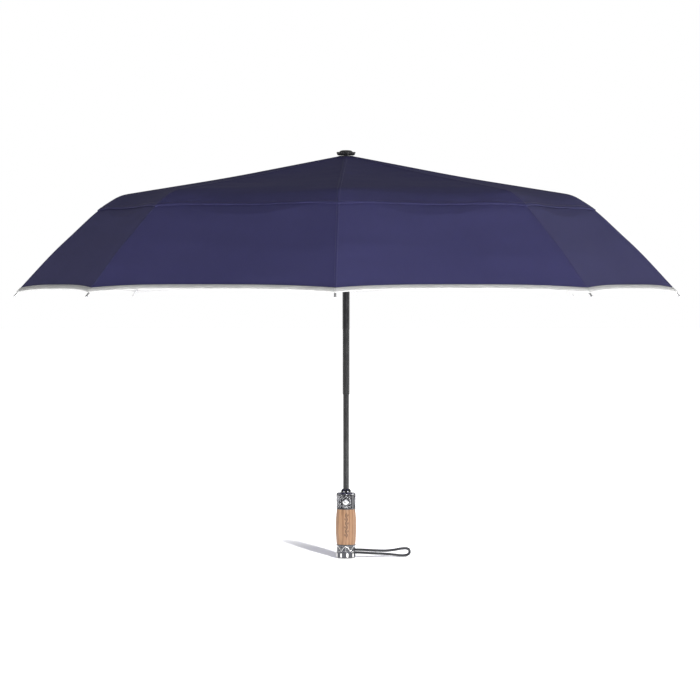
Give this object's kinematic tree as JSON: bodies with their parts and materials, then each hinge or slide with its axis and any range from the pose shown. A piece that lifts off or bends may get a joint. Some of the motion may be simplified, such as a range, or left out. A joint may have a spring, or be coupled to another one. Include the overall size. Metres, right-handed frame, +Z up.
{
  "type": "folding umbrella",
  "caption": "Automatic three-fold umbrella, open: vented octagonal navy canopy with a pale edge, telescoping shaft, wooden grip with metal collar and end cap, and a wrist strap.",
  "frame": {"origin": "centre of the end cap's flat foot, the lowest point of the handle", "axes": "+Z up the shaft to the top cap, rib 1 along +X, the button faces -Y, the wrist strap leaves towards +X"},
  "size_m": [1.0438, 1.0438, 0.6391],
  "materials": {
    "chrome_cap": "polished cast zinc, bright",
    "wood_grip": "oiled walnut, satin",
    "gunmetal": "black chrome over cast relief",
    "steel_dark": "dark electro-coated steel, semi-gloss",
    "steel_bright": "plain zinc-plated steel",
    "rib_steel": "black electro-coated steel",
    "plastic_black": "glass-filled nylon, low gloss",
    "button_white": "bright plated face",
    "fabric_navy": "tight woven pongee, faint sheen",
    "binding_grey": "reflective silver-grey tape",
    "cord_black": "braided polyester cord"
  },
  "bodies": {
    "handle": {"end_cap": "chrome_cap", "strap_anchor": "plastic_black", "strap": "cord_black", "grip": "wood_grip", "grip_rings": "chrome_cap", "grip_sleeve": "plastic_black", "collar": "gunmetal", "collar_crown": "gunmetal", "button_spring": "steel_bright", "lower_tube": "steel_dark", "lower_bush": "plastic_black", "opening_spring": "steel_bright"},
    "button": {"button": "button_white", "shaft_catch": "steel_bright"},
    "middle_tube": {"middle_tube": "steel_dark", "middle_bush": "plastic_black"},
    "upper_tube": {"upper_tube": "steel_dark", "top_notch": "plastic_black", "notch_wire": "steel_bright", "top_cap": "plastic_black", "canopy_washer": "plastic_black", "upper_canopy": "fabric_navy", "lower_canopy": "fabric_navy", "edge_binding": "binding_grey"},
    "runner": {"runner": "plastic_black", "runner_wire": "steel_bright"},
    "top_rib_1": {"top_rib_1": "rib_steel"},
    "stretcher_1": {"stretcher_1": "rib_steel"},
    "middle_rib_1": {"middle_rib_1": "rib_steel"},
    "outer_rib_1": {"outer_rib_1": "rib_steel"},
    "top_rib_2": {"top_rib_2": "rib_steel"},
    "stretcher_2": {"stretcher_2": "rib_steel"},
    "middle_rib_2": {"middle_rib_2": "rib_steel"},
    "outer_rib_2": {"outer_rib_2": "rib_steel"},
    "top_rib_3": {"top_rib_3": "rib_steel"},
    "stretcher_3": {"stretcher_3": "rib_steel"},
    "middle_rib_3": {"middle_rib_3": "rib_steel"},
    "outer_rib_3": {"outer_rib_3": "rib_steel"},
    "top_rib_4": {"top_rib_4": "rib_steel"},
    "stretcher_4": {"stretcher_4": "rib_steel"},
    "middle_rib_4": {"middle_rib_4": "rib_steel"},
    "outer_rib_4": {"outer_rib_4": "rib_steel"},
    "top_rib_5": {"top_rib_5": "rib_steel"},
    "stretcher_5": {"stretcher_5": "rib_steel"},
    "middle_rib_5": {"middle_rib_5": "rib_steel"},
    "outer_rib_5": {"outer_rib_5": "rib_steel"},
    "top_rib_6": {"top_rib_6": "rib_steel"},
    "stretcher_6": {"stretcher_6": "rib_steel"},
    "middle_rib_6": {"middle_rib_6": "rib_steel"},
    "outer_rib_6": {"outer_rib_6": "rib_steel"},
    "top_rib_7": {"top_rib_7": "rib_steel"},
    "stretcher_7": {"stretcher_7": "rib_steel"},
    "middle_rib_7": {"middle_rib_7": "rib_steel"},
    "outer_rib_7": {"outer_rib_7": "rib_steel"},
    "top_rib_8": {"top_rib_8": "rib_steel"},
    "stretcher_8": {"stretcher_8": "rib_steel"},
    "middle_rib_8": {"middle_rib_8": "rib_steel"},
    "outer_rib_8": {"outer_rib_8": "rib_steel"}
  },
  "joints": [
    {"name": "lower_slide", "type": "slide", "parent": "handle", "child": "middle_tube", "axis": [0, 0, -1], "range_m": [0, 0.147]},
    {"name": "upper_slide", "type": "slide", "parent": "middle_tube", "child": "upper_tube", "axis": [0, 0, -1], "range_m": [0, 0.165]},
    {"name": "button_press", "type": "slide", "parent": "handle", "child": "button", "axis": [0, 1, 0], "range_m": [0, 0.002], "stiffness_N_per_m": 1200, "springref_m": -0.001, "deforming": ["button_spring"]},
    {"name": "canopy_fold", "type": "hinge", "parent": "upper_tube", "child": "top_rib_1", "pos_m": [0.0095, 0, 0.6245], "axis": [0, 1, 0], "range_deg": [0, 75.6], "deforming": ["upper_canopy", "lower_canopy", "edge_binding"]},
    {"name": "stretcher_1_hinge", "type": "hinge", "parent": "top_rib_1", "child": "stretcher_1", "pos_m": [0.09463, 0, 0.60656], "axis": [0, 1, 0], "range_deg": [-151.2, 0]},
    {"name": "middle_rib_1_hinge", "type": "hinge", "parent": "top_rib_1", "child": "middle_rib_1", "pos_m": [0.18127, 0, 0.59096], "axis": [0, 1, 0], "range_deg": [-173.88, 0]},
    {"name": "outer_rib_1_hinge", "type": "hinge", "parent": "middle_rib_1", "child": "outer_rib_1", "pos_m": [0.35435, 0, 0.55859], "axis": [0, 1, 0], "range_deg": [0, 144.02]},
    {"name": "top_rib_2_hinge", "type": "hinge", "parent": "upper_tube", "child": "top_rib_2", "pos_m": [0.00672, 0.00672, 0.6245], "axis": [-0.7071, 0.7071, 0], "range_deg": [0, 75.6]},
    {"name": "stretcher_2_hinge", "type": "hinge", "parent": "top_rib_2", "child": "stretcher_2", "pos_m": [0.06691, 0.06691, 0.60656], "axis": [-0.7071, 0.7071, 0], "range_deg": [-151.2, 0]},
    {"name": "middle_rib_2_hinge", "type": "hinge", "parent": "top_rib_2", "child": "middle_rib_2", "pos_m": [0.12818, 0.12818, 0.59096], "axis": [-0.7071, 0.7071, 0], "range_deg": [-173.88, 0]},
    {"name": "outer_rib_2_hinge", "type": "hinge", "parent": "middle_rib_2", "child": "outer_rib_2", "pos_m": [0.25056, 0.25056, 0.55859], "axis": [-0.7071, 0.7071, 0], "range_deg": [0, 144.02]},
    {"name": "top_rib_3_hinge", "type": "hinge", "parent": "upper_tube", "child": "top_rib_3", "pos_m": [0, 0.0095, 0.6245], "axis": [-1, 0, 0], "range_deg": [0, 75.6]},
    {"name": "stretcher_3_hinge", "type": "hinge", "parent": "top_rib_3", "child": "stretcher_3", "pos_m": [0, 0.09463, 0.60656], "axis": [-1, 0, 0], "range_deg": [-151.2, 0]},
    {"name": "middle_rib_3_hinge", "type": "hinge", "parent": "top_rib_3", "child": "middle_rib_3", "pos_m": [0, 0.18127, 0.59096], "axis": [-1, 0, 0], "range_deg": [-173.88, 0]},
    {"name": "outer_rib_3_hinge", "type": "hinge", "parent": "middle_rib_3", "child": "outer_rib_3", "pos_m": [0, 0.35435, 0.55859], "axis": [-1, 0, 0], "range_deg": [0, 144.02]},
    {"name": "top_rib_4_hinge", "type": "hinge", "parent": "upper_tube", "child": "top_rib_4", "pos_m": [-0.00672, 0.00672, 0.6245], "axis": [-0.7071, -0.7071, 0], "range_deg": [0, 75.6]},
    {"name": "stretcher_4_hinge", "type": "hinge", "parent": "top_rib_4", "child": "stretcher_4", "pos_m": [-0.06691, 0.06691, 0.60656], "axis": [-0.7071, -0.7071, 0], "range_deg": [-151.2, 0]},
    {"name": "middle_rib_4_hinge", "type": "hinge", "parent": "top_rib_4", "child": "middle_rib_4", "pos_m": [-0.12818, 0.12818, 0.59096], "axis": [-0.7071, -0.7071, 0], "range_deg": [-173.88, 0]},
    {"name": "outer_rib_4_hinge", "type": "hinge", "parent": "middle_rib_4", "child": "outer_rib_4", "pos_m": [-0.25056, 0.25056, 0.55859], "axis": [-0.7071, -0.7071, 0], "range_deg": [0, 144.02]},
    {"name": "top_rib_5_hinge", "type": "hinge", "parent": "upper_tube", "child": "top_rib_5", "pos_m": [-0.0095, 0, 0.6245], "axis": [0, -1, 0], "range_deg": [0, 75.6]},
    {"name": "stretcher_5_hinge", "type": "hinge", "parent": "top_rib_5", "child": "stretcher_5", "pos_m": [-0.09463, 0, 0.60656], "axis": [0, -1, 0], "range_deg": [-151.2, 0]},
    {"name": "middle_rib_5_hinge", "type": "hinge", "parent": "top_rib_5", "child": "middle_rib_5", "pos_m": [-0.18127, 0, 0.59096], "axis": [0, -1, 0], "range_deg": [-173.88, 0]},
    {"name": "outer_rib_5_hinge", "type": "hinge", "parent": "middle_rib_5", "child": "outer_rib_5", "pos_m": [-0.35435, 0, 0.55859], "axis": [0, -1, 0], "range_deg": [0, 144.02]},
    {"name": "top_rib_6_hinge", "type": "hinge", "parent": "upper_tube", "child": "top_rib_6", "pos_m": [-0.00672, -0.00672, 0.6245], "axis": [0.7071, -0.7071, 0], "range_deg": [0, 75.6]},
    {"name": "stretcher_6_hinge", "type": "hinge", "parent": "top_rib_6", "child": "stretcher_6", "pos_m": [-0.06691, -0.06691, 0.60656], "axis": [0.7071, -0.7071, 0], "range_deg": [-151.2, 0]},
    {"name": "middle_rib_6_hinge", "type": "hinge", "parent": "top_rib_6", "child": "middle_rib_6", "pos_m": [-0.12818, -0.12818, 0.59096], "axis": [0.7071, -0.7071, 0], "range_deg": [-173.88, 0]},
    {"name": "outer_rib_6_hinge", "type": "hinge", "parent": "middle_rib_6", "child": "outer_rib_6", "pos_m": [-0.25056, -0.25056, 0.55859], "axis": [0.7071, -0.7071, 0], "range_deg": [0, 144.02]},
    {"name": "top_rib_7_hinge", "type": "hinge", "parent": "upper_tube", "child": "top_rib_7", "pos_m": [0, -0.0095, 0.6245], "axis": [1, 0, 0], "range_deg": [0, 75.6]},
    {"name": "stretcher_7_hinge", "type": "hinge", "parent": "top_rib_7", "child": "stretcher_7", "pos_m": [0, -0.09463, 0.60656], "axis": [1, 0, 0], "range_deg": [-151.2, 0]},
    {"name": "middle_rib_7_hinge", "type": "hinge", "parent": "top_rib_7", "child": "middle_rib_7", "pos_m": [0, -0.18127, 0.59096], "axis": [1, 0, 0], "range_deg": [-173.88, 0]},
    {"name": "outer_rib_7_hinge", "type": "hinge", "parent": "middle_rib_7", "child": "outer_rib_7", "pos_m": [0, -0.35435, 0.55859], "axis": [1, 0, 0], "range_deg": [0, 144.02]},
    {"name": "top_rib_8_hinge", "type": "hinge", "parent": "upper_tube", "child": "top_rib_8", "pos_m": [0.00672, -0.00672, 0.6245], "axis": [0.7071, 0.7071, 0], "range_deg": [0, 75.6]},
    {"name": "stretcher_8_hinge", "type": "hinge", "parent": "top_rib_8", "child": "stretcher_8", "pos_m": [0.06691, -0.06691, 0.60656], "axis": [0.7071, 0.7071, 0], "range_deg": [-151.2, 0]},
    {"name": "middle_rib_8_hinge", "type": "hinge", "parent": "top_rib_8", "child": "middle_rib_8", "pos_m": [0.12818, -0.12818, 0.59096], "axis": [0.7071, 0.7071, 0], "range_deg": [-173.88, 0]},
    {"name": "outer_rib_8_hinge", "type": "hinge", "parent": "middle_rib_8", "child": "outer_rib_8", "pos_m": [0.25056, -0.25056, 0.55859], "axis": [0.7071, 0.7071, 0], "range_deg": [0, 144.02]},
    {"name": "runner_hinge", "type": "hinge", "parent": "stretcher_1", "child": "runner", "pos_m": [0.0095, 0, 0.58862], "axis": [0, 1, 0], "range_deg": [0, 75.6]}
  ],
  "couplings": [
    {"joint": "stretcher_1_hinge", "follows": "canopy_fold", "ratio": -2},
    {"joint": "middle_rib_1_hinge", "follows": "canopy_fold", "ratio": -2.3},
    {"joint": "outer_rib_1_hinge", "follows": "canopy_fold", "ratio": 1.905},
    {"joint": "top_rib_2_hinge", "follows": "canopy_fold", "ratio": 1},
    {"joint": "stretcher_2_hinge", "follows": "canopy_fold", "ratio": -2},
    {"joint": "middle_rib_2_hinge", "follows": "canopy_fold", "ratio": -2.3},
    {"joint": "outer_rib_2_hinge", "follows": "canopy_fold", "ratio": 1.905},
    {"joint": "top_rib_3_hinge", "follows": "canopy_fold", "ratio": 1},
    {"joint": "stretcher_3_hinge", "follows": "canopy_fold", "ratio": -2},
    {"joint": "middle_rib_3_hinge", "follows": "canopy_fold", "ratio": -2.3},
    {"joint": "outer_rib_3_hinge", "follows": "canopy_fold", "ratio": 1.905},
    {"joint": "top_rib_4_hinge", "follows": "canopy_fold", "ratio": 1},
    {"joint": "stretcher_4_hinge", "follows": "canopy_fold", "ratio": -2},
    {"joint": "middle_rib_4_hinge", "follows": "canopy_fold", "ratio": -2.3},
    {"joint": "outer_rib_4_hinge", "follows": "canopy_fold", "ratio": 1.905},
    {"joint": "top_rib_5_hinge", "follows": "canopy_fold", "ratio": 1},
    {"joint": "stretcher_5_hinge", "follows": "canopy_fold", "ratio": -2},
    {"joint": "middle_rib_5_hinge", "follows": "canopy_fold", "ratio": -2.3},
    {"joint": "outer_rib_5_hinge", "follows": "canopy_fold", "ratio": 1.905},
    {"joint": "top_rib_6_hinge", "follows": "canopy_fold", "ratio": 1},
    {"joint": "stretcher_6_hinge", "follows": "canopy_fold", "ratio": -2},
    {"joint": "middle_rib_6_hinge", "follows": "canopy_fold", "ratio": -2.3},
    {"joint": "outer_rib_6_hinge", "follows": "canopy_fold", "ratio": 1.905},
    {"joint": "top_rib_7_hinge", "follows": "canopy_fold", "ratio": 1},
    {"joint": "stretcher_7_hinge", "follows": "canopy_fold", "ratio": -2},
    {"joint": "middle_rib_7_hinge", "follows": "canopy_fold", "ratio": -2.3},
    {"joint": "outer_rib_7_hinge", "follows": "canopy_fold", "ratio": 1.905},
    {"joint": "top_rib_8_hinge", "follows": "canopy_fold", "ratio": 1},
    {"joint": "stretcher_8_hinge", "follows": "canopy_fold", "ratio": -2},
    {"joint": "middle_rib_8_hinge", "follows": "canopy_fold", "ratio": -2.3},
    {"joint": "outer_rib_8_hinge", "follows": "canopy_fold", "ratio": 1.905},
    {"joint": "runner_hinge", "follows": "canopy_fold", "ratio": 1}
  ]
}
